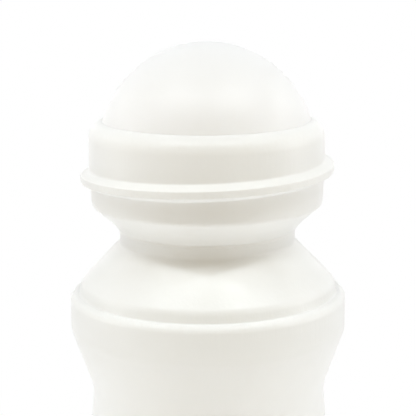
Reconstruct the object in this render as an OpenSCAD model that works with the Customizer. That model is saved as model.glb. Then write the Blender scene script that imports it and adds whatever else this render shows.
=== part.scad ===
// Roll-on bottle: a blow-moulded bottle, a snap-in ball housing and a hollow roller ball.
// Sizes are in millimetres. The origin is at the centre of the base, +Z is up and the front is at -Y.

/* [Bottle base] */
// Diameter across the heel, before it is rounded
base_d = 42; // [38:0.1:44]
// Radius of the rounded heel
heel_round = 3.5; // [2:0.1:4.5]
// Width of the flat ring that the bottle stands on
foot_ring_w = 2; // [1.5:0.1:3]
// Rounding between the flat ring and the hollow under the base
ring_edge_round = 0.6; // [0.2:0.1:1]
// Depth of the hollow under the base
push_up_h = 3; // [2:0.1:4.5]
// Run of the sloping side of the hollow under the base
push_up_run = 3.9; // [3:0.1:6]
// Radius that blends the hollow's side into its flat middle
push_up_round = 8; // [4:0.5:12]
// Wall of the base
base_wall = 1.3; // [1:0.05:2]

/* [Bottle body] */
// Wall of the blown body
body_wall = 1; // [0.8:0.05:1.4]
// Diameter at the hip, the widest place of the lower body
hip_d = 44.6; // [43:0.1:45.6]
// Height of the hip above the base
hip_h = 11.5; // [9:0.1:16]
// Radius that rounds the hip
hip_round = 22; // [10:0.5:30]
// Diameter where the wall begins to flare out to the hip
flare_d = 40.5; // [39.5:0.1:42]
// Length of the flare above the hip
flare_h = 10.5; // [8:0.1:16]
// Radius that eases the wall into the flare
flare_round = 60; // [20:1:80]
// Diameter of the waist
waist_d = 38.44; // [37:0.02:39.5]
// Length of the grip wall between the flare and the waist
grip_h = 12.75; // [8:0.05:20]
// Radius that rounds the waist
waist_round = 9; // [4:0.5:14]
// Diameter of the rounded rim and the band below it
rim_d = 45.64; // [44.6:0.02:47]
// Length of the taper between the waist and the band
taper_h = 10.1; // [8:0.05:14]
// Radius that rounds the band into the taper
band_round = 4.5; // [2:0.5:16]
// Height of the band, from the taper up to the ledge
band_h = 6.05; // [4.5:0.05:8]

/* [Bottle shoulder and neck] */
// Radius of the rounded rim
rim_round = 1.2; // [0.5:0.05:1.3]
// Width of the ledge that the cap's edge would rest on
ledge_w = 1.52; // [1:0.02:1.8]
// Fillet between the ledge and the step
ledge_fillet = 0.25; // [0.1:0.05:0.4]
// Height of the step between the ledge and the shoulder
step_h = 1.8; // [1.2:0.05:2.4]
// How far the step leans in over its height
step_lean = 0.35; // [0.2:0.01:0.8]
// Rounding between the step and the shoulder
shoulder_round = 2.2; // [1:0.1:3]
// Height of the shoulder's cone
shoulder_h = 6.75; // [6:0.05:8.5]
// Wall of the shoulder, which is stretched less than the body
shoulder_wall = 2; // [1.8:0.05:2.4]
// Outside diameter of the neck
neck_d = 28.84; // [27.8:0.02:30]
// Height of the neck's straight wall
neck_h = 1.85; // [1.5:0.05:3.5]
// Fillet between the neck and the shoulder
neck_fillet = 0.8; // [0.3:0.1:1.2]
// Wall of the neck
neck_wall = 1.42; // [1.2:0.02:1.7]
// Width of the flat rim around the mouth
mouth_land_w = 0.5; // [0.4:0.02:0.7]
// Rounding of the mouth's outer edge
mouth_round = 0.2; // [0.1:0.05:0.3]
// Height of the sloping lead-in inside the mouth
lead_in_h = 1; // [0.6:0.05:1.4]

/* [Roller ball] */
// Outside diameter of the ball
ball_d = 35.56; // [33.5:0.01:37]
// Wall of the hollow ball
ball_wall = 1.8; // [1.2:0.1:3]
// Running gap between the ball and the lip, and between the ball and its seat
ball_play = 0.2; // [0.15:0.01:0.3]

/* [Housing collar] */
// How far the retaining lip reaches above the ball's centre
lip_wrap = 5.2; // [4:0.05:6]
// Width of the land that wipes the ball, along the ball
wiper_w = 1.1; // [0.8:0.05:1.6]
// Radius of the lip's rounded top, from the ball out to the collar's wall
lip_round = 2.9; // [2:0.05:4]
// Gap between the ball and the cup
cup_gap = 0.4; // [0.35:0.01:0.6]
// Wall of the collar at the ball's widest place
collar_wall = 1.09; // [0.9:0.01:1.5]
// Distance below the ball's centre where the skirt's draft begins
draft_start = 2; // [0.5:0.1:4]
// Distance below the ball's centre of the skirt's lower edge
skirt_drop = 8.4; // [7.5:0.05:9.2]
// How much the skirt's radius falls by its lower edge
skirt_draft = 0.3; // [0.1:0.02:0.5]
// Rounding of the skirt's lower edge
skirt_round = 1.1; // [0.5:0.05:1.4]
// Wall where the underside of the skirt meets the cup
cove_wall = 1.25; // [1.1:0.01:1.5]
// Angle below the horizontal, seen from the ball's centre, of the place where the skirt meets the cup
cove_angle = 33.5; // [32.5:0.1:35]
// Fillet where the skirt meets the cup
cove_fillet = 2; // [1:0.1:3]

/* [Housing foot and plug] */
// How far the foot stands proud of the neck
foot_proud = 0.16; // [0.05:0.01:0.3]
// Height of the foot's straight edge
foot_h = 0.35; // [0.2:0.05:0.6]
// Radial clearance of the plug in the neck
plug_fit = 0.05; // [0.03:0.01:0.1]
// Wall of the plug's stem
stem_wall = 1.05; // [0.9:0.05:1.3]
// Distance of the ball's seat below the mouth of the bottle
seat_drop = 0.58; // [0.5:0.01:1]
// Width of the seat's land, along the ball
seat_w = 0.9; // [0.6:0.05:1.2]
// Width of the slope at the edge of the seat and of the wiping land
relief_w = 0.4; // [0.2:0.05:0.6]
// Height of the snap bead, beyond the neck's bore
bead_h = 0.45; // [0.3:0.05:0.6]
// Width of the flat on the snap bead
bead_flat = 0.3; // [0.2:0.05:0.6]
// Length of the slope that leads the bead through the neck
bead_lead = 1.3; // [0.9:0.05:2]
// Gap between the snap bead and the shoulder's inside
bead_fit = 0.12; // [0.1:0.01:0.2]
// Length of the stem below the snap bead
stem_tail = 2.6; // [2.2:0.1:5]
// Chamfer at the stem's lower edge
stem_chamfer = 0.4; // [0.2:0.05:0.6]
// Number of drain notches in the stem's lower edge
drain_count = 4; // [2:1:8]
// Width of a drain notch
drain_w = 3; // [1.5:0.1:4]
// Height of a drain notch
drain_h = 2.1; // [1.6:0.1:2.2]

/* [Hidden] */
$fn = 144;

// Largest turn between two points of a rounded corner, in degrees
arc_step = 6;
// Share of an edge that the roundings at its two ends may take up together
rounding_share = 0.98;
// Least rounding of a corner inside the bottle
inner_round_min = 0.2;
// Rounding of the foot's upper edge and of the snap bead
small_round = 0.1;
// Overrun of a cut past the wall that it goes through
overrun = 0.5;

bottle_colour = [0.96, 0.96, 0.95];
housing_colour = [0.94, 0.94, 0.92];
ball_colour = [0.98, 0.98, 0.98];

// Radii of the bottle
base_r = base_d / 2;
ring_in_r = base_r - heel_round - foot_ring_w;
hip_r = hip_d / 2;
flare_r = flare_d / 2;
waist_r = waist_d / 2;
rim_r = rim_d / 2;
step_r = rim_r - ledge_w;
shoulder_r = step_r - step_lean;
neck_r = neck_d / 2;
neck_bore_r = neck_r - neck_wall;
mouth_land_r = neck_r - mouth_land_w;

// Heights of the bottle
flare_z = hip_h + flare_h;
waist_z = flare_z + grip_h;
band_z = waist_z + taper_h;
ledge_z = band_z + band_h;
shoulder_z = ledge_z + step_h;
neck_z = shoulder_z + shoulder_h;
mouth_z = neck_z + neck_h;

// Plug, seat and ball: the ball rests on the seat ring at the top of the stem's bore
stem_r = neck_bore_r - plug_fit;
stem_bore_r = stem_r - stem_wall;
ball_r = ball_d / 2;
play_r = ball_r + ball_play;
cup_r = ball_r + cup_gap;
seat_z = mouth_z - seat_drop;
ball_z = seat_z + sqrt(pow(play_r, 2) - pow(stem_bore_r, 2));

// Collar
collar_r = cup_r + collar_wall;
skirt_r = collar_r - skirt_draft;
cove_r = cup_r + cove_wall;
foot_r = neck_r + foot_proud;
lip_z = ball_z + lip_wrap;
lip_r = sqrt(pow(play_r, 2) - pow(lip_wrap, 2));
lip_centre_r = collar_r - lip_round;
lip_centre_z = lip_z - sqrt(pow(lip_round, 2) - pow(lip_r - lip_centre_r, 2));

// Direction from one point of an outline to another
function way(p, q) = let (d = [q[0] - p[0], q[1] - p[1]]) d / norm(d);

// Distance between two points of an outline
function apart(p, q) = norm([q[0] - p[0], q[1] - p[1]]);

// Vector v turned anticlockwise by an angle
function turned(v, angle) = [v[0] * cos(angle) - v[1] * sin(angle), v[0] * sin(angle) + v[1] * cos(angle)];

// Length that the rounding of corner i asks for on each of the two edges that meet there
function asked(points, i) =
    i == 0 || i == len(points) - 1 || points[i][2] == 0
        ? 0
        : points[i][2] / tan(acos(way(points[i], points[i - 1]) * way(points[i], points[i + 1])) / 2);

// Share of what they ask for that the two corners of the edge after point i can have
function granted(points, i) =
    let (both = asked(points, i) + asked(points, i + 1))
    both == 0 ? 1 : min(1, rounding_share * apart(points[i], points[i + 1]) / both);

// Points of the arc that rounds corner i
function corner(points, i) =
    let (p = [points[i][0], points[i][1]], a = way(p, points[i - 1]), b = way(p, points[i + 1]))
    let (reach = asked(points, i) * min(granted(points, i - 1), granted(points, i)))
    let (half = acos(a * b) / 2, centre = p + (a + b) / norm(a + b) * reach / cos(half))
    let (start = p + a * reach - centre, end = p + b * reach - centre)
    let (turn = (180 - 2 * half) * sign(cross(start, end)), steps = ceil(abs(turn) / arc_step))
    [for (i = [0:steps]) centre + turned(start, turn * i / steps)];

// Outline with every corner rounded that has a radius. A point is [radius from the axis, height, rounding].
function rounded(points) = [
    for (i = [0:len(points) - 1])
        each asked(points, i) == 0 ? [[points[i][0], points[i][1]]] : corner(points, i)
];

// Corner q of the wall's inside, where the edges on both sides of it have moved in by their own walls
function inner_corner(p, q, s, wall_before, wall_after) =
    let (before = way(p, q), after = way(q, s), bend = cross(before, after))
    let (m = turned(before, 90), n = turned(after, 90), d = cross(m, n))
    let (wall = min(wall_before, wall_after), inner_round = bend > 0 ? q[2] - wall : q[2] + wall)
    [q[0] + (wall_before * n[1] - wall_after * m[1]) / d,
     q[1] + (wall_after * m[0] - wall_before * n[0]) / d,
     max(inner_round, inner_round_min)];

// Points of an arc about the centre [radius from the axis, height], between two angles
function arc(centre, radius, from, to) =
    let (steps = ceil(abs(to - from) / arc_step))
    [for (i = [0:steps]) centre + turned([radius, 0], from + (to - from) * i / steps)];

// Points of an arc about the ball's centre
function ball_arc(radius, from, to) = arc([0, ball_z], radius, from, to);

// Angle, seen from the ball's centre, that a width along the ball takes up
function ball_angle(width) = width / play_r * 180 / PI;

function reversed(list) = [for (i = [len(list) - 1:-1:0]) list[i]];

// Main corners of the bottle from the centre of its base up to its mouth, without the step
bottle_corners = [
    [0, push_up_h, 0],
    [ring_in_r - push_up_run, push_up_h, push_up_round],
    [ring_in_r, 0, ring_edge_round],
    [base_r, 0, heel_round],
    [hip_r, hip_h, hip_round],
    [flare_r, flare_z, flare_round],
    [waist_r, waist_z, waist_round],
    [rim_r, band_z, band_round],
    [rim_r, ledge_z, rim_round],
    [neck_r, neck_z, neck_fillet],
    [neck_r, mouth_z, mouth_round],
];

// Wall behind the edge that starts at each of those corners
bottle_walls = [
    base_wall, base_wall, base_wall, body_wall, body_wall, body_wall, body_wall, body_wall,
    shoulder_wall, neck_wall,
];

// The step is cut into the cone between the rim and the neck
rim_corner = 8;
step_corners = [[step_r, ledge_z, ledge_fillet], [shoulder_r, shoulder_z, shoulder_round]];

outer_corners = [
    for (i = [0:rim_corner]) bottle_corners[i],
    each step_corners,
    for (i = [rim_corner + 1:len(bottle_corners) - 1]) bottle_corners[i],
    [mouth_land_r, mouth_z, 0],
];

inner_corners = [
    [0, push_up_h + base_wall, 0],
    for (i = [1:len(bottle_corners) - 2])
        inner_corner(bottle_corners[i - 1], bottle_corners[i], bottle_corners[i + 1],
            bottle_walls[i - 1], bottle_walls[i]),
    [neck_bore_r, mouth_z - lead_in_h, 0],
];

// Snap bead, just below the place where the neck's bore opens into the shoulder
neck_low_z = inner_corners[len(inner_corners) - 2][1];
bead_r = neck_bore_r + bead_h;
shoulder_slope = (neck_z - ledge_z) / (rim_r - neck_r);
bead_top_z = neck_low_z - bead_h * shoulder_slope - bead_fit;
bead_low_z = bead_top_z - bead_flat - bead_lead;
stem_z = bead_low_z - stem_tail;

// Angles of the seat and of the wiping land, seen from the ball's centre
seat_low_angle = -acos(stem_bore_r / play_r);
seat_top_angle = seat_low_angle + ball_angle(seat_w);
wiper_top_angle = asin(lip_wrap / play_r);
wiper_low_angle = wiper_top_angle - ball_angle(wiper_w);
relief_angle = ball_angle(relief_w);

// Top of the lip, from the end of the wiping land out to the collar's wall
lip_points = arc([lip_centre_r, lip_centre_z], lip_round, acos((lip_r - lip_centre_r) / lip_round), 0);

// Outside of the housing from below the lip down to the stem's lower edge
housing_outer_corners = [
    [collar_r, ball_z - draft_start, 0],
    [skirt_r, ball_z - skirt_drop, skirt_round],
    [cove_r * cos(cove_angle), ball_z - cove_r * sin(cove_angle), cove_fillet],
    [foot_r, mouth_z + foot_h, small_round],
    [foot_r, mouth_z, 0],
    [mouth_land_r - 2 * plug_fit, mouth_z, 0],
    [stem_r, mouth_z - lead_in_h, 0],
    [stem_r, neck_low_z, 0],
    [bead_r, bead_top_z, small_round],
    [bead_r, bead_top_z - bead_flat, small_round],
    [stem_r, bead_low_z, 0],
    [stem_r, stem_z + stem_chamfer, 0],
    [stem_r - stem_chamfer, stem_z, 0],
];

// Inside of the housing from the stem's lower edge up and over the lip: bore, seat, cup, wiping land, lip
housing_inner_points = [
    [stem_bore_r, stem_z],
    each ball_arc(play_r, seat_low_angle, seat_top_angle),
    each ball_arc(cup_r, seat_top_angle + relief_angle, wiper_low_angle - relief_angle),
    each ball_arc(play_r, wiper_low_angle, wiper_top_angle),
    for (i = [1:len(lip_points) - 1]) lip_points[i],
];

// Blown shell with its hollow base, waist, rim, stepped shoulder and plain neck
module bottle() {
    color(bottle_colour)
    rotate_extrude()
    polygon(concat(rounded(outer_corners), reversed(rounded(inner_corners))));
}

// Notch through the stem's wall, open at the stem's lower edge and round at its top
module drain_notch() {
    notch_l = stem_wall + 2 * overrun;
    translate([stem_bore_r - overrun, 0, stem_z])
    union() {
        translate([0, -drain_w / 2, -overrun])
        cube([notch_l, drain_w, drain_h - drain_w / 2 + overrun]);
        translate([0, 0, drain_h - drain_w / 2])
        rotate([0, 90, 0])
        cylinder(d = drain_w, h = notch_l);
    }
}

// One-piece housing: lip, collar, cup, seat ring and the plug that snaps into the neck
module ball_housing() {
    color(housing_colour)
    difference() {
        rotate_extrude()
        polygon(concat(rounded(housing_outer_corners), housing_inner_points));
        for (i = [0:drain_count - 1])
            rotate([0, 0, i * 360 / drain_count])
            drain_notch();
    }
}

// Hollow ball, held between the lip and the seat
module roller_ball() {
    color(ball_colour)
    translate([0, 0, ball_z])
    difference() {
        sphere(r = ball_r);
        sphere(r = ball_r - ball_wall);
    }
}

bottle();
ball_housing();
roller_ball();
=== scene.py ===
"""Looks of the roll-on bottle: fine meshes, plastics, studio light and camera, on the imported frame.

The tables below are in millimetres and degrees. The origin is at the centre of the base, +Z is up
and the front is at -Y. An angle round the axis is 0 at +X, the object's right, and grows
anticlockwise seen from above.
"""

import math

import bmesh
import bpy
from mathutils import Matrix, Vector, noise


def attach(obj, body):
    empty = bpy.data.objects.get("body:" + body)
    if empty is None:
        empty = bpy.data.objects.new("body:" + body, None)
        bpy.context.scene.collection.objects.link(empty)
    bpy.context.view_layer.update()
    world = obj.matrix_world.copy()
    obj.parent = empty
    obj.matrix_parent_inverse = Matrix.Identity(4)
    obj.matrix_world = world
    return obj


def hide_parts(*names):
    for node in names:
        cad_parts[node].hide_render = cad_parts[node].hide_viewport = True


MM = 0.001

# Lathe grid
ARC_STEP = 3.0  # largest turn between two rows of a rounded corner
ROW_LENGTH = 0.6  # longest step between two rows of a straight wall
COLUMNS = 288
SHARP_ANGLE = 32.0  # from which an edge of a mesh stays sharp
AXIS_R = 1e-6  # a row with a smaller radius is one point on the axis
SAME_POINT = 1e-4  # vertices that are nearer to each other become one

# Mouth of the bottle, in which the housing's stem sits
MOUTH_Z = 61.3
NECK_R = 14.42
BORE_R = 13.0
BORE_TOP_Z = 60.3  # where its lead-in ends
BORE_FOOT_Z = 58.04

# Outside of the bottle from the centre of its base to its mouth: radius, height, rounding
BOTTLE_OUTSIDE = [
    (0.0, 3.0, 0.0),
    (11.6, 3.0, 8.0),
    (15.5, 0.0, 0.6),
    (21.0, 0.0, 3.5),
    (22.3, 11.5, 22.0),
    (20.25, 22.0, 60.0),
    (19.22, 34.75, 9.0),
    (22.82, 44.85, 4.5),
    (22.82, 50.9, 1.2),
    (21.3, 50.9, 0.25),
    (20.95, 52.7, 2.2),
    (NECK_R, 59.45, 0.8),
    (NECK_R, MOUTH_Z, 0.2),
    (13.92, MOUTH_Z, 0.0),
]
STANDING = 2  # its corner at the inner edge of the ring on which the bottle stands
# Inside of the bottle from the lead-in of its mouth to the centre of its base
BOTTLE_INSIDE = [
    (BORE_R, BORE_TOP_Z, 0.0),
    (BORE_R, BORE_FOOT_Z, 0.5),
    (21.0, 49.7, 1.0),
    (21.82, 49.1, 0.6),
    (21.82, 44.85, 3.5),
    (18.22, 34.75, 10.0),
    (19.25, 22.0, 59.0),
    (21.3, 11.5, 21.0),
    (20.1, 1.2, 2.4),
    (15.9, 1.3, 1.2),
    (11.9, 4.3, 6.0),
    (0.0, 4.3, 0.0),
]

# Marks of the bottle's blow mould: parting line up both sides, weld across the base, wavy wall
SEAM_ANGLES = (0.0, 180.0)
SEAM_HALF = 0.8  # degrees from its crest to its foot
SEAM_RISE = 0.06
WELD_LENGTH = 21.0
WELD_HALF = 0.45  # half of its width
WELD_RISE = 0.3
WELD_RAGGED = 0.25  # share by which its width and rise come and go
WELD_STEPS = 60
# Across the weld: side in half widths, rise in its whole rise, with its edges sunk in the base
WELD_PROFILE = [
    (-1.0, -0.15),
    (-0.7, 0.35),
    (-0.35, 0.85),
    (0.0, 1.0),
    (0.35, 0.85),
    (0.7, 0.35),
    (1.0, -0.15),
]
WAVE_DEPTH = 0.03
WAVE_LENGTH = 13.0
WAVE_HEIGHTS = (4.0, 43.0)  # the wall between them waves
WAVE_START = 4.0  # over which the waves come in and fade out

# Roller ball and its housing
BALL_Z = 74.198
BALL_R = 17.78
BALL_SIDE = 80  # squares along each side of the cube that the ball is made from
BALL_WELD = 0.3  # half of the weld band round the ball
WIPER_R = 17.80  # wiping land, which the soft lip closes on the ball
SEAT_R = 17.98
CUP_R = 18.18
INNER_R = CUP_R + 0.1  # inside of it the housing has no thread and no parting line
COLLAR_R = 19.27
LIP_ROUND = 2.9
LIP_Z = BALL_Z + 2.424  # centre of the lip's rounding
WIPER_ANGLE = 13.3  # lower end of the wiping land, seen from the ball's centre
SEAT_ANGLES = (-48.56, -45.69)
RELIEF_ANGLE = 1.27  # between the cup and each of the two lands
STEM_R = 12.95
STEM_BORE_R = 11.9
STEM_Z = 53.264
STEM_CHAMFER = 0.4
COLLAR_FOOT = (18.97, BALL_Z - 8.4)  # where the drafted wall of the collar ends
COLLAR_DRAFT_Z = BALL_Z - 2.0  # where its draft starts

# Cap thread: one right-hand ridge round the collar, with its two ends at the back
THREAD_LEAD = 3.3
THREAD_MID_Z = BALL_Z - 3.28  # middle of the ridge at the front
THREAD_HALF = 1.6  # from there to where the wall is plain
THREAD_R = 20.75
THREAD_FOLLOW = 1.0  # above the collar's foot, from where the rows rise with the thread
THREAD_SPAN = 344.0
THREAD_RUNOUT = 26.0  # over which each end sinks into the collar

# Outside of the housing from the thread, as it is at the front, to the stem's lower edge
HOUSING_OUTSIDE = [
    (COLLAR_R, THREAD_MID_Z + 1.42, 0.35),
    (THREAD_R, THREAD_MID_Z + 0.58, 0.22),
    (THREAD_R, THREAD_MID_Z - 0.57, 0.22),
    (19.15, THREAD_MID_Z - 1.28, 0.30),
    (*COLLAR_FOOT, 1.1),
    (16.203, BALL_Z - 10.724, 2.0),
    (14.58, 61.65, 0.1),
    (14.58, MOUTH_Z, 0.0),
    (13.82, MOUTH_Z, 0.0),
    (STEM_R, BORE_TOP_Z, 0.0),
    (STEM_R, BORE_FOOT_Z, 0.0),
    (13.45, 57.46, 0.1),
    (13.45, 57.16, 0.1),
    (STEM_R, 55.86, 0.0),
    (STEM_R, STEM_Z + STEM_CHAMFER, 0.0),
    (STEM_R - STEM_CHAMFER, STEM_Z, 0.0),
]

# Places that handling has rubbed: radius, height, how far the wear reaches. The thread's crest is
# rubbed at every height.
BOTTLE_WEAR = [(22.8, 50.8, 1.2), (20.2, 0.2, 1.8), (16.0, 0.2, 1.2), (NECK_R, MOUTH_Z, 0.6)]
HOUSING_WEAR = [(19.0, BALL_Z + 4.2, 1.2), (18.9, COLLAR_FOOT[1], 0.7), (20.8, None, 0.3)]

# Camera, as fitted to the photograph
CAMERA_DISTANCE = 240.0  # from the ball's centre
CAMERA_ELEVATION = 9.75
CAMERA_SIDE = 0.123  # to the object's right
CAMERA_PITCH = 11.986  # downwards
CAMERA_ROLL = -0.45
CAMERA_LENS = 126.8
SENSOR = 36.0

# Lamps, each on both sides: name, azimuth and elevation seen from the ball, distance, size, power
# in watts, colour. Azimuth 0 is the camera's side and 90 the object's right or left.
WHITE = (1.0, 1.0, 1.0)
COOL = (0.90, 0.955, 0.995)
WARM = (1.0, 0.97, 0.91)
LAMPS = [
    ("high_key", 45, 65, 600, 25, 0.22, COOL),
    ("key", 60, 59, 600, 25, 0.25, COOL),
    ("low_key", 75, 53, 600, 25, 0.242, COOL),
    ("front_key", 45, 53, 600, 25, 0.146, COOL),
    ("top", 20, 64, 600, 90, 0.40, COOL),
    ("side", 90, 26, 501, 190, 0.11, WHITE),
    ("low_side", 90, 2.5, 450, 190, 0.362, WHITE),
    ("rim", 117, 23.5, 551, 190, 0.261, WHITE),
    ("back", 153, 2.3, 506, 190, 0.071, WHITE),
    ("front", 30, 2.2, 520, 190, 0.118, WARM),
]
# Light from the studio's walls and ceiling, as seen from the object. The front wall is warm.
WALL_FRONT = (0.445, 0.312, 0.11)
WALL_BACK = (0.28, 0.262, 0.235)
WALL_SIDES = (0.03, 0.03, 0.03)
CEILING = (0.41, 0.41, 0.405)
WALL_BLEND = 0.2  # Y of the directions between which the front wall turns into the back wall
# Floor: its size, its colour, the glow that lifts it to white, and where it turns into the backdrop
FLOOR_SIZE = 3000.0
FLOOR_COLOUR = (0.86, 0.86, 0.86)
FLOOR_GLOW = 0.2
FLOOR_NEAR = 45.0
FLOOR_FAR = 105.0
# Light that the white table throws up on the object, from a ring round it
TABLE_LIGHT = 0.90
TABLE_RING = (43.0, 67.0)
TABLE_SOFT = 1.15  # how far each end of the ring fades out, in its own radius

# Plastics: colour, its second tint, worn tint, roughness, how deep light goes, depth of the mould's
# vertical streaks
BOTTLE_PLASTIC = (
    (0.895, 0.902, 0.890),
    (0.885, 0.891, 0.876),
    (0.868, 0.867, 0.848),
    0.40,
    0.25,
    0.008,
)
HOUSING_PLASTIC = (
    (0.905, 0.907, 0.890),
    (0.895, 0.896, 0.876),
    (0.884, 0.881, 0.861),
    0.38,
    0.15,
    0.005,
)
BALL_PLASTIC = (
    (0.955, 0.951, 0.937),
    (0.948, 0.943, 0.927),
    (0.925, 0.918, 0.90),
    0.42,
    0.15,
    0.0,
)
PATCH_LIMITS = (0.35, 0.65)  # noise under the first lies between patches, over the second in them
PATCH_DETAIL = 3.0
CLOUD_SIZE = 16.0  # of the two tints' patches
SMUDGE_SIZE = 4.0  # of the patches of other roughness
SMUDGE_SPREAD = 0.06
STREAK_SIZE = 0.7  # from one streak to the next
STREAK_STRETCH = 0.02  # their scale along Z
STREAK_DETAIL = 2.0
GRAIN_SIZE = 0.35  # of the mould's blasted surface
GRAIN_DEPTH = 0.003
SCUFF_SIZE = 0.7
SCUFF_LIMITS = (0.5, 0.7)
SCUFF_DETAIL = 5.0
SCUFF_DEPTH = 0.004
SCUFF_ROUGHNESS = 0.12


def away(p, q):
    """Unit vector from p to q."""
    length = math.dist(p, q)
    return (q[0] - p[0]) / length, (q[1] - p[1]) / length


def rounded(corners):
    """Outline of (radius, height) points from corners of (radius, height, rounding)."""
    points = []
    for i, (r, z, radius) in enumerate(corners):
        if radius == 0 or i in (0, len(corners) - 1):
            points.append((r, z))
            continue
        ax, ay = away((r, z), corners[i - 1][:2])
        bx, by = away((r, z), corners[i + 1][:2])
        half = math.acos(max(-1.0, min(1.0, ax * bx + ay * by))) / 2
        reach = radius / math.tan(half)
        mx, my = away((0, 0), (ax + bx, ay + by))
        cx, cy = r + mx * radius / math.sin(half), z + my * radius / math.sin(half)
        start = math.atan2(z + ay * reach - cy, r + ax * reach - cx)
        end = math.atan2(z + by * reach - cy, r + bx * reach - cx)
        turn = (end - start + math.pi) % (2 * math.pi) - math.pi
        steps = max(1, math.ceil(abs(math.degrees(turn)) / ARC_STEP))
        for k in range(steps + 1):
            a = start + turn * k / steps
            points.append((cx + radius * math.cos(a), cy + radius * math.sin(a)))
    return points


def arc(centre, radius, start, end):
    """Points of an arc about centre, between two angles in degrees."""
    steps = max(1, math.ceil(abs(end - start) / ARC_STEP))
    angles = [math.radians(start + (end - start) * k / steps) for k in range(steps + 1)]
    return [(centre[0] + radius * math.cos(a), centre[1] + radius * math.sin(a)) for a in angles]


def filled(points):
    """The outline with extra points, so that no step is longer than ROW_LENGTH."""
    out = [points[0]]
    for p, q in zip(points, points[1:]):
        steps = max(1, math.ceil(math.dist(p, q) / ROW_LENGTH))
        for k in range(1, steps + 1):
            out.append((p[0] + (q[0] - p[0]) * k / steps, p[1] + (q[1] - p[1]) * k / steps))
    return out


def smooth(x):
    """Soft step from 0 to 1."""
    x = max(0.0, min(1.0, x))
    return x * x * (3 - 2 * x)


def new_object(name, vertices, faces, material, wear=()):
    """Welded smooth mesh object from vertices in millimetres, with its wear as an attribute."""
    mesh = bpy.data.meshes.new(name)
    mesh.from_pydata([(x * MM, y * MM, z * MM) for x, y, z in vertices], [], faces)
    made = bmesh.new()
    made.from_mesh(mesh)
    bmesh.ops.remove_doubles(made, verts=made.verts, dist=SAME_POINT * MM)
    bmesh.ops.recalc_face_normals(made, faces=made.faces)
    made.to_mesh(mesh)
    made.free()
    for polygon in mesh.polygons:
        polygon.use_smooth = True
    mesh.set_sharp_from_angle(angle=math.radians(SHARP_ANGLE))
    mesh.materials.append(material)
    rubbed = mesh.attributes.new("wear", "FLOAT", "POINT")
    for vertex, value in zip(mesh.vertices, rubbed.data):
        r, z = math.hypot(vertex.co.x, vertex.co.y) / MM, vertex.co.z / MM
        away_from = [
            math.hypot(r - rubbed_r, 0 if rubbed_z is None else z - rubbed_z) / reach
            for rubbed_r, rubbed_z, reach in wear
        ]
        value.value = smooth(1 - min(away_from, default=1))
    obj = bpy.data.objects.new(name, mesh)
    bpy.context.scene.collection.objects.link(obj)
    return obj


def seam_rise(angle):
    """How far the parting line stands out at that angle."""
    off = min(abs((angle - seam + 180) % 360 - 180) for seam in SEAM_ANGLES)
    return SEAM_RISE * max(0.0, 1 - off / SEAM_HALF)


def lathe(name, outline, closed, material, wear, moved):
    """Shell of revolution. Where closed, the outline comes back to its first point.

    Otherwise it starts and ends on the axis. moved(row, angle, radius, height) gives the radius and
    height that a column's point gets.
    """
    angles = {360 * k / COLUMNS for k in range(COLUMNS)}
    angles |= {(seam + side) % 360 for seam in SEAM_ANGLES for side in (-SEAM_HALF, 0, SEAM_HALF)}
    vertices, rows, faces = [], [], []
    for row, (r, z) in enumerate(outline):
        if r < AXIS_R:
            rows.append([len(vertices)] * len(angles))
            vertices.append((0.0, 0.0, z))
            continue
        rows.append(list(range(len(vertices), len(vertices) + len(angles))))
        for angle in sorted(angles):
            radius, height = moved(row, angle, r, z)
            a = math.radians(angle)
            vertices.append((radius * math.cos(a), radius * math.sin(a), height))
    pairs = list(zip(rows, rows[1:]))
    if closed:
        pairs.append((rows[-1], rows[0]))
    for low, high in pairs:
        for k in range(len(angles)):
            n = (k + 1) % len(angles)
            corners = [low[k], low[n], high[n], high[k]]
            faces.append([c for i, c in enumerate(corners) if c != corners[i - 1]])
    return new_object(name, vertices, faces, material, wear)


def bottle_shell(material):
    """Blown bottle, inside and outside."""
    outside = filled(rounded(BOTTLE_OUTSIDE))
    inside = filled(rounded(BOTTLE_INSIDE))
    low, high = WAVE_HEIGHTS
    heel = next(i for i, (r, _) in enumerate(outside) if r > BOTTLE_OUTSIDE[STANDING][0])

    def moved(row, angle, r, z):
        if not heel <= row < len(outside) - 1:
            return r, z
        wavy = smooth((z - low) / WAVE_START) * smooth((high - z) / WAVE_START)
        a = math.radians(angle)
        wave = noise.noise(Vector((r * math.cos(a), r * math.sin(a), z)) / WAVE_LENGTH)
        return r + seam_rise(angle) + WAVE_DEPTH * wavy * wave, z

    return lathe("bottle_shell", outside + inside, False, material, BOTTLE_WEAR, moved)


def base_weld(material):
    """Weld across the hollow of the base, where the mould pinched the tube off."""
    hollow = filled(rounded(BOTTLE_OUTSIDE[: STANDING + 2]))
    hollow = [p for p in hollow if p[1] <= BOTTLE_OUTSIDE[0][1]]

    def height(at):
        for (r0, z0), (r1, z1) in zip(hollow, hollow[1:]):
            if r0 <= at <= r1 and r1 > r0:
                return z0 + (z1 - z0) * (at - r0) / (r1 - r0)
        return hollow[-1][1]

    vertices, faces = [], []
    for i in range(WELD_STEPS + 1):
        x = WELD_LENGTH * (i / WELD_STEPS - 0.5)
        end = smooth((WELD_LENGTH / 2 - abs(x)) / (2 * WELD_HALF))
        ragged = 1 + WELD_RAGGED * noise.noise(Vector((x, 0, 0)))
        for side, up in WELD_PROFILE:
            drop = WELD_RISE * ragged * (up * end if up > 0 else up)
            vertices.append((x, side * WELD_HALF * ragged, height(abs(x)) - drop))
    n = len(WELD_PROFILE)
    for i in range(WELD_STEPS):
        for k in range(n):
            low, high, m = i * n, (i + 1) * n, (k + 1) % n
            faces.append((low + k, high + k, high + m, low + m))
    faces.append(tuple(range(n)))
    faces.append(tuple(WELD_STEPS * n + k for k in reversed(range(n))))
    return new_object("base_weld", vertices, faces, material)


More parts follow.
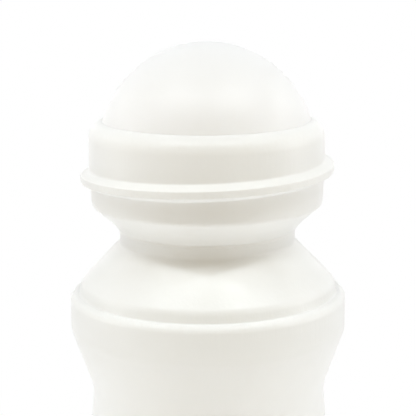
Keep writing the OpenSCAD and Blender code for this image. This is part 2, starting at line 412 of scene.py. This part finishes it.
def collar_radius(z):
    """Radius of the collar's plain wall at that height."""
    foot_r, foot_z = COLLAR_FOOT
    share = max(0.0, (COLLAR_DRAFT_Z - z) / (COLLAR_DRAFT_Z - foot_z))
    return COLLAR_R + (foot_r - COLLAR_R) * share


def along_thread(angle):
    """How far the thread has risen at that angle, and which share of it stands out there."""
    at = (angle + 270) % 360 - 180  # from the front
    half = THREAD_SPAN / 2
    if abs(at) <= half:
        proud = math.sin(min(1.0, (half - abs(at)) / THREAD_RUNOUT) * math.pi / 2)
        return THREAD_LEAD * at / 360, proud
    return math.copysign(THREAD_LEAD * half / 360 * (180 - abs(at)) / (180 - half), at), 0.0


def housing_shell(material):
    """Moulded housing with its lip, cup, seat, stem and thread."""
    # The lip's round starts where it meets the wiping land's sphere
    ball, centre = (0.0, BALL_Z), (COLLAR_R - LIP_ROUND, LIP_Z)
    apart = math.dist(ball, centre)
    spread = math.acos((apart**2 + LIP_ROUND**2 - WIPER_R**2) / (2 * apart * LIP_ROUND))
    lip_start = 180 + math.degrees(math.atan2(LIP_Z - BALL_Z, centre[0]) - spread)
    lip = arc(centre, LIP_ROUND, lip_start, 0)
    lip_angle = math.degrees(math.atan2(lip[0][1] - BALL_Z, lip[0][0]))
    outline = filled(
        lip[:-1]
        + rounded([(*lip[-1], 0.0)] + HOUSING_OUTSIDE)
        + [(STEM_BORE_R, STEM_Z)]
        + arc(ball, SEAT_R, *SEAT_ANGLES)
        + arc(ball, CUP_R, SEAT_ANGLES[1] + RELIEF_ANGLE, WIPER_ANGLE - RELIEF_ANGLE)
        + arc(ball, WIPER_R, WIPER_ANGLE, lip_angle)[:-1]
    )
    foot_z = COLLAR_FOOT[1] + THREAD_FOLLOW
    top, bottom = THREAD_MID_Z + THREAD_HALF, THREAD_MID_Z - THREAD_HALF

    def moved(row, angle, r, z):
        if r < INNER_R or not foot_z < z < LIP_Z:
            return r, z
        rise, proud = along_thread(angle)
        follows = min(1.0, (LIP_Z - z) / (LIP_Z - top), (z - foot_z) / (bottom - foot_z))
        height = z + rise * follows
        return collar_radius(height) + proud * (r - collar_radius(z)) + seam_rise(angle), height

    return lathe("housing_shell", outline, True, material, HOUSING_WEAR, moved)


def ball_surface(material):
    """Sphere from the six sides of a cube, so that its squares are nearly alike."""
    vertices, faces = [], []
    for axis in range(3):
        for sign in (-1, 1):
            start = len(vertices)
            for i in range(BALL_SIDE + 1):
                for j in range(BALL_SIDE + 1):
                    u = math.tan((i / BALL_SIDE - 0.5) * math.pi / 2)
                    v = math.tan((j / BALL_SIDE - 0.5) * math.pi / 2)
                    p = [0.0, 0.0, 0.0]
                    p[axis], p[(axis + 1) % 3], p[(axis + 2) % 3] = sign, u * sign, v
                    p = Vector(p).normalized() * BALL_R
                    vertices.append((p.x, p.y, p.z + BALL_Z))
            for i in range(BALL_SIDE):
                for j in range(BALL_SIDE):
                    a = start + i * (BALL_SIDE + 1) + j
                    faces.append((a, a + BALL_SIDE + 1, a + BALL_SIDE + 2, a + 1))
    return new_object("ball_surface", vertices, faces, material)


def add_node(tree, kind, inputs, **settings):
    """Shader node of that kind, with values or other nodes' outputs for its inputs.

    An input is named, or numbered where a node has the same name in several types.
    """
    made = tree.nodes.new("ShaderNode" + kind)
    for key, value in settings.items():
        setattr(made, key, value)
    for key, value in inputs.items():
        if isinstance(value, bpy.types.NodeSocket):
            tree.links.new(value, made.inputs[key])
        else:
            made.inputs[key].default_value = value
    return made


def patches(tree, place, size, low, high, detail=PATCH_DETAIL, limits=PATCH_LIMITS):
    """Patches of that size in millimetres, with the value high in them and low between them."""
    inputs = {"Vector": place, "Scale": 1 / (size * MM), "Detail": detail}
    value = add_node(tree, "TexNoise", inputs).outputs[0]
    start, end = limits
    inputs = {"Value": value, "From Min": start, "From Max": end, "To Min": low, "To Max": high}
    return add_node(tree, "MapRange", inputs).outputs[0]


def blended(tree, share, first, second):
    """Colour between two others."""
    return add_node(tree, "Mix", {0: share, 6: first, 7: second}, data_type="RGBA").outputs[2]


def plastic(name, colour, tint, worn, roughness, depth, streaks, welded=False):
    """White moulded plastic, into which light goes about depth millimetres."""
    material = bpy.data.materials.new(name)
    material.use_nodes = True
    tree = material.node_tree
    shader = tree.nodes["Principled BSDF"]
    place = add_node(tree, "TexCoord", {}).outputs["Object"]

    wear = add_node(tree, "Attribute", {}, attribute_name="wear").outputs["Fac"]
    scuffs = patches(tree, place, SCUFF_SIZE, 0.0, 1.0, SCUFF_DETAIL, SCUFF_LIMITS)
    rubbed = add_node(tree, "Math", {0: wear, 1: scuffs}, operation="MULTIPLY").outputs[0]
    if welded:
        height = add_node(tree, "SeparateXYZ", {0: place}).outputs["Z"]
        off = add_node(tree, "Math", {0: height, 1: BALL_Z * MM}, operation="SUBTRACT").outputs[0]
        band = add_node(tree, "Math", {0: off}, operation="ABSOLUTE").outputs[0]
        inputs = {"Value": band, "From Min": BALL_WELD * MM, "From Max": 0.0}
        weld = add_node(tree, "MapRange", inputs).outputs[0]
        rubbed = add_node(tree, "Math", {0: rubbed, 1: weld}, operation="MAXIMUM").outputs[0]

    clouds = patches(tree, place, CLOUD_SIZE, 0.0, 1.0)
    body = blended(tree, clouds, (*colour, 1.0), (*tint, 1.0))
    tree.links.new(blended(tree, rubbed, body, (*worn, 1.0)), shader.inputs["Base Color"])

    smoother, rougher = roughness - SMUDGE_SPREAD, roughness + SMUDGE_SPREAD
    smudges = patches(tree, place, SMUDGE_SIZE, smoother, rougher)
    inputs = {0: rubbed, 1: SCUFF_ROUGHNESS, 2: smudges}
    matt = add_node(tree, "Math", inputs, operation="MULTIPLY_ADD").outputs[0]
    tree.links.new(matt, shader.inputs["Roughness"])

    grain = patches(tree, place, GRAIN_SIZE, 0.0, 1.0)
    relief = add_node(tree, "Bump", {"Height": grain, "Distance": GRAIN_DEPTH * MM}).outputs[0]
    if streaks:
        inputs = {0: place, 1: (1.0, 1.0, STREAK_STRETCH)}
        flat = add_node(tree, "VectorMath", inputs, operation="MULTIPLY").outputs[0]
        lines = patches(tree, flat, STREAK_SIZE, 0.0, 1.0, STREAK_DETAIL)
        inputs = {"Height": lines, "Distance": streaks * MM, "Normal": relief}
        relief = add_node(tree, "Bump", inputs).outputs[0]
    inputs = {"Height": scuffs, "Strength": wear, "Distance": SCUFF_DEPTH * MM, "Normal": relief}
    relief = add_node(tree, "Bump", inputs, invert=True).outputs[0]
    tree.links.new(relief, shader.inputs["Normal"])

    shader.inputs["Subsurface Weight"].default_value = 1.0
    shader.inputs["Subsurface Radius"].default_value = (1.0, 1.0, 1.0)
    shader.inputs["Subsurface Scale"].default_value = depth * MM
    return material


def placed(azimuth, elevation, distance):
    """Point seen from the ball's centre at that azimuth and elevation, in millimetres."""
    a, e = math.radians(azimuth), math.radians(elevation)
    return Vector(
        (
            distance * math.sin(a) * math.cos(e),
            -distance * math.cos(a) * math.cos(e),
            distance * math.sin(e) + BALL_Z,
        )
    )


def add_lamps():
    """Square lamps to the left and right, all turned to the ball and out of the camera's sight."""
    for name, azimuth, elevation, distance, size, power, colour in LAMPS:
        for side, hand in (("left", -1), ("right", 1)):
            lamp = bpy.data.lights.new(f"{side}_{name}", "AREA")
            lamp.shape = "SQUARE"
            lamp.size = size * MM
            lamp.energy = power
            lamp.color = colour
            obj = bpy.data.objects.new(lamp.name, lamp)
            obj.visible_camera = False
            obj.location = placed(hand * azimuth, elevation, distance) * MM
            target = Vector((0, 0, BALL_Z * MM))
            obj.rotation_euler = (target - obj.location).to_track_quat("-Z", "Y").to_euler()
            bpy.context.scene.collection.objects.link(obj)


def seen_directly(tree):
    """1 for the rays that see the white backdrop: the camera's, reflected and transmitted ones."""
    path = add_node(tree, "LightPath", {})
    rays = {0: path.outputs["Is Camera Ray"], 1: path.outputs["Is Glossy Ray"]}
    either = add_node(tree, "Math", rays, operation="MAXIMUM").outputs[0]
    rays = {0: either, 1: path.outputs["Is Transmission Ray"]}
    return add_node(tree, "Math", rays, operation="MAXIMUM").outputs[0]


def add_world():
    """Soft light from the walls and the ceiling, and pure white behind the object."""
    world = bpy.data.worlds.new("studio")
    bpy.context.scene.world = world
    world.use_nodes = True
    tree = world.node_tree
    tree.nodes.clear()
    direction = add_node(tree, "TexCoord", {}).outputs["Generated"]
    # The squares of a direction's parts add up to 1, so they share the light out without a seam
    inputs = {0: direction, 1: direction}
    squares = add_node(tree, "VectorMath", inputs, operation="MULTIPLY").outputs[0]
    share = add_node(tree, "SeparateXYZ", {0: squares})
    facing = add_node(tree, "SeparateXYZ", {0: direction}).outputs["Y"]
    first, last = (-WALL_BLEND,) * 3, (WALL_BLEND,) * 3
    inputs = {6: facing, 7: first, 8: last, 9: WALL_FRONT, 10: WALL_BACK}
    front_to_back = add_node(tree, "MapRange", inputs, data_type="FLOAT_VECTOR").outputs[1]
    light = (0.0, 0.0, 0.0)
    for axis, wall in (("X", WALL_SIDES), ("Y", front_to_back), ("Z", CEILING)):
        inputs = {0: wall, "Scale": share.outputs[axis]}
        lit = add_node(tree, "VectorMath", inputs, operation="SCALE").outputs[0]
        light = add_node(tree, "VectorMath", {0: light, 1: lit}, operation="ADD").outputs[0]
    walls = add_node(tree, "Background", {"Color": light}).outputs[0]
    white = add_node(tree, "Background", {"Color": (*WHITE, 1.0)}).outputs[0]
    shown = add_node(tree, "MixShader", {0: seen_directly(tree), 1: walls, 2: white}).outputs[0]
    add_node(tree, "OutputWorld", {"Surface": shown})


def add_floor():
    """White table that keeps the object's shadow, lights it and further out is the backdrop."""
    material = bpy.data.materials.new("floor")
    material.use_nodes = True
    tree = material.node_tree
    tree.nodes.clear()
    seen = seen_directly(tree)
    place = add_node(tree, "TexCoord", {}).outputs["Object"]
    distance = add_node(tree, "VectorMath", {0: place}, operation="LENGTH").outputs["Value"]
    surface = add_node(tree, "BsdfDiffuse", {"Color": (*FLOOR_COLOUR, 1.0)}).outputs[0]
    ends = []
    for radius, before, after in zip(TABLE_RING, (0.0, TABLE_LIGHT), (TABLE_LIGHT, 0.0)):
        inputs = {"Value": distance, "From Min": radius * MM, "From Max": TABLE_SOFT * radius * MM}
        inputs |= {"To Min": before, "To Max": after}
        ends.append(add_node(tree, "MapRange", inputs).outputs[0])
    light = add_node(tree, "Math", {0: ends[0], 1: ends[1]}, operation="MINIMUM").outputs[0]
    strength = add_node(tree, "Mix", {0: seen, 2: light, 3: FLOOR_GLOW}).outputs[0]
    glow = add_node(tree, "Emission", {"Strength": strength}).outputs[0]
    near = add_node(tree, "AddShader", {0: surface, 1: glow}).outputs[0]
    inputs = {"Value": distance, "From Min": FLOOR_NEAR * MM, "From Max": FLOOR_FAR * MM}
    far = add_node(tree, "MapRange", inputs, interpolation_type="SMOOTHSTEP").outputs[0]
    share = add_node(tree, "Math", {0: far, 1: seen}, operation="MULTIPLY").outputs[0]
    backdrop = add_node(tree, "Emission", {}).outputs[0]
    shown = add_node(tree, "MixShader", {0: share, 1: near, 2: backdrop}).outputs[0]
    add_node(tree, "OutputMaterial", {"Surface": shown})
    half = FLOOR_SIZE / 2
    corners = [(-half, -half, 0), (half, -half, 0), (half, half, 0), (-half, half, 0)]
    new_object("floor", corners, [(0, 1, 2, 3)], material)


def add_camera():
    """The photograph's camera."""
    camera = bpy.data.cameras.new("camera")
    camera.lens = CAMERA_LENS
    camera.sensor_width = SENSOR
    obj = bpy.data.objects.new("camera", camera)
    place = placed(0, CAMERA_ELEVATION, CAMERA_DISTANCE) + Vector((CAMERA_SIDE, 0, 0))
    pitch = Matrix.Rotation(math.radians(90 - CAMERA_PITCH), 4, "X")
    roll = Matrix.Rotation(math.radians(CAMERA_ROLL), 4, "Z")
    obj.matrix_world = Matrix.Translation(place * MM) @ (pitch @ roll)
    bpy.context.scene.collection.objects.link(obj)
    bpy.context.scene.camera = obj


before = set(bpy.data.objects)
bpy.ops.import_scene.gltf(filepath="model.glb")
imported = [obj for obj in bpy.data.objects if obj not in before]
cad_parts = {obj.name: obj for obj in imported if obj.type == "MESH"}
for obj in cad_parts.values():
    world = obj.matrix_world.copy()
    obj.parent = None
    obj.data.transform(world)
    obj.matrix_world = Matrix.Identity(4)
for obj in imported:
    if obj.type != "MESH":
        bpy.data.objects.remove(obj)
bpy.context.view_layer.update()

bottle_plastic = plastic("bottle_plastic", *BOTTLE_PLASTIC)
housing_plastic = plastic("housing_plastic", *HOUSING_PLASTIC)
ball_plastic = plastic("ball_plastic", *BALL_PLASTIC, welded=True)

shell = bottle_shell(bottle_plastic)
weld = base_weld(bottle_plastic)
collar = housing_shell(housing_plastic)
ball = ball_surface(ball_plastic)

for piece, body, slot in (
    (shell, "bottle_body", "bottle"),
    (weld, "bottle_body", "bottle"),
    (collar, "bottle_body", "housing"),
    (ball, "ball", "ball"),
):
    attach(piece, body)
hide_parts("bottle")
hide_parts("ball_housing")
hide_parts("roller_ball")

add_world()
add_floor()
add_lamps()
add_camera()
bpy.context.scene.view_settings.view_transform = "Standard"
